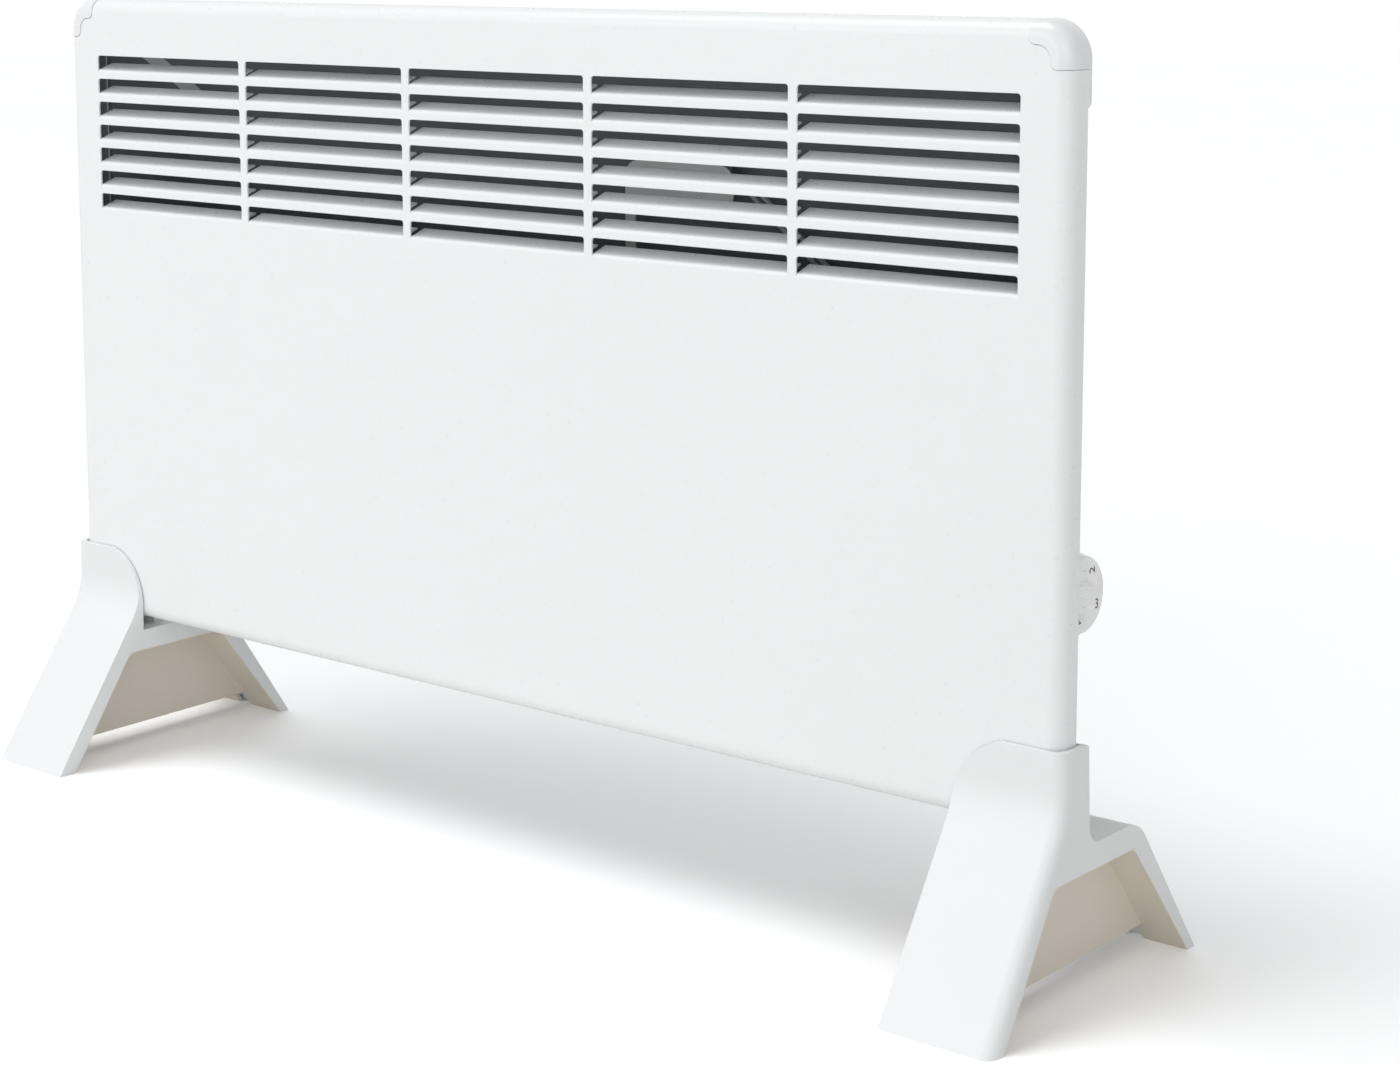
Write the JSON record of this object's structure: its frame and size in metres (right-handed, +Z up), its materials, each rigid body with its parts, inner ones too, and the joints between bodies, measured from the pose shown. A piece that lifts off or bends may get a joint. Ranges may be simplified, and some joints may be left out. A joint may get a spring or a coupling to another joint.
{
  "type": "panel convector heater",
  "caption": "Slim louvred electric panel convector standing on two moulded push-on feet, with a numbered thermostat knob in a recess at its right end.",
  "frame": {"origin": "on the floor under the middle of the casing, midway between the feet's toes and heels", "axes": "+Z up, front face towards -Y, thermostat end towards +X"},
  "size_m": [0.7342, 0.194, 0.4764],
  "materials": {
    "cover_enamel": "white powder coat, fine satin",
    "rear_enamel": "dark grey powder coat, matt",
    "cap_plastic": "white moulded plastic, satin",
    "foot_plastic": "white moulded plastic, satin",
    "fin_aluminium": "extruded, matt",
    "core_steel": "sheathed element, dull",
    "bush_ceramic": "unglazed",
    "plated_tab": "plated tab",
    "bracket_steel": "zinc plated",
    "plate_steel": "light grey coated plate",
    "cutout_phenolic": "phenolic, matt",
    "lead_insulation": "heat-resistant sleeving",
    "earth_insulation": "green and yellow insulation",
    "box_plastic": "light grey moulded plastic, satin",
    "lid_plastic": "light grey moulded plastic, satin",
    "screw_steel": "zinc plated",
    "thermostat_phenolic": "phenolic, matt",
    "spindle_steel": "turned",
    "knob_plastic": "white moulded plastic, satin",
    "switch_plastic": "white, smooth",
    "rocker_plastic": "white, smooth",
    "block_plastic": "natural nylon",
    "terminal_brass": "turned",
    "gland_plastic": "light grey nylon",
    "stud_brass": "turned",
    "clip_plastic": "natural nylon",
    "rivet_aluminium": "drawn",
    "label_film": "blank silver-white film"
  },
  "bodies": {
    "casing": {"front_cover": "cover_enamel", "rear_cover": "rear_enamel", "corner_cap_top_left": "cap_plastic", "corner_cap_top_right": "cap_plastic", "corner_cap_bottom_left": "cap_plastic", "corner_cap_bottom_right": "cap_plastic", "heating_fins": "fin_aluminium", "element_core": "core_steel", "element_bushes": "bush_ceramic", "element_terminals": "plated_tab", "element_bracket_left": "bracket_steel", "element_bracket_right": "bracket_steel", "cutout_bracket": "plate_steel", "thermal_cutout": "cutout_phenolic", "cutout_leads": "lead_insulation", "control_box": "box_plastic", "control_box_lid": "lid_plastic", "box_screws": "screw_steel", "thermostat_body": "thermostat_phenolic", "switch_body": "switch_plastic", "terminal_block": "block_plastic", "terminal_screws": "terminal_brass", "cable_gland": "gland_plastic", "gland_nut": "gland_plastic", "element_lead": "lead_insulation", "return_lead": "lead_insulation", "switch_leads": "lead_insulation", "earth_lead": "earth_insulation", "earth_stud": "stud_brass", "lead_clips": "clip_plastic", "case_screws": "screw_steel", "bracket_rivets": "rivet_aluminium", "rating_label": "label_film"},
    "knob": {"thermostat_knob": "knob_plastic", "thermostat_spindle": "spindle_steel"},
    "rocker": {"switch_rocker": "rocker_plastic"},
    "left_foot_body": {"left_foot": "foot_plastic"},
    "right_foot_body": {"right_foot": "foot_plastic"}
  },
  "joints": [
    {"name": "knob_turn", "type": "hinge", "parent": "casing", "child": "knob", "pos_m": [0.33, 0.0115, 0.1973], "axis": [1, 0, 0], "range_deg": [-155, 145]},
    {"name": "rocker_tip", "type": "hinge", "parent": "casing", "child": "rocker", "pos_m": [0.328, 0.0115, 0.1573], "axis": [0, 1, 0], "range_deg": [-18, 0]},
    {"name": "left_foot_pull", "type": "slide", "parent": "casing", "child": "left_foot_body", "axis": [-1, 0, 0], "range_m": [0, 0.07]},
    {"name": "right_foot_pull", "type": "slide", "parent": "casing", "child": "right_foot_body", "axis": [1, 0, 0], "range_m": [0, 0.07]}
  ]
}
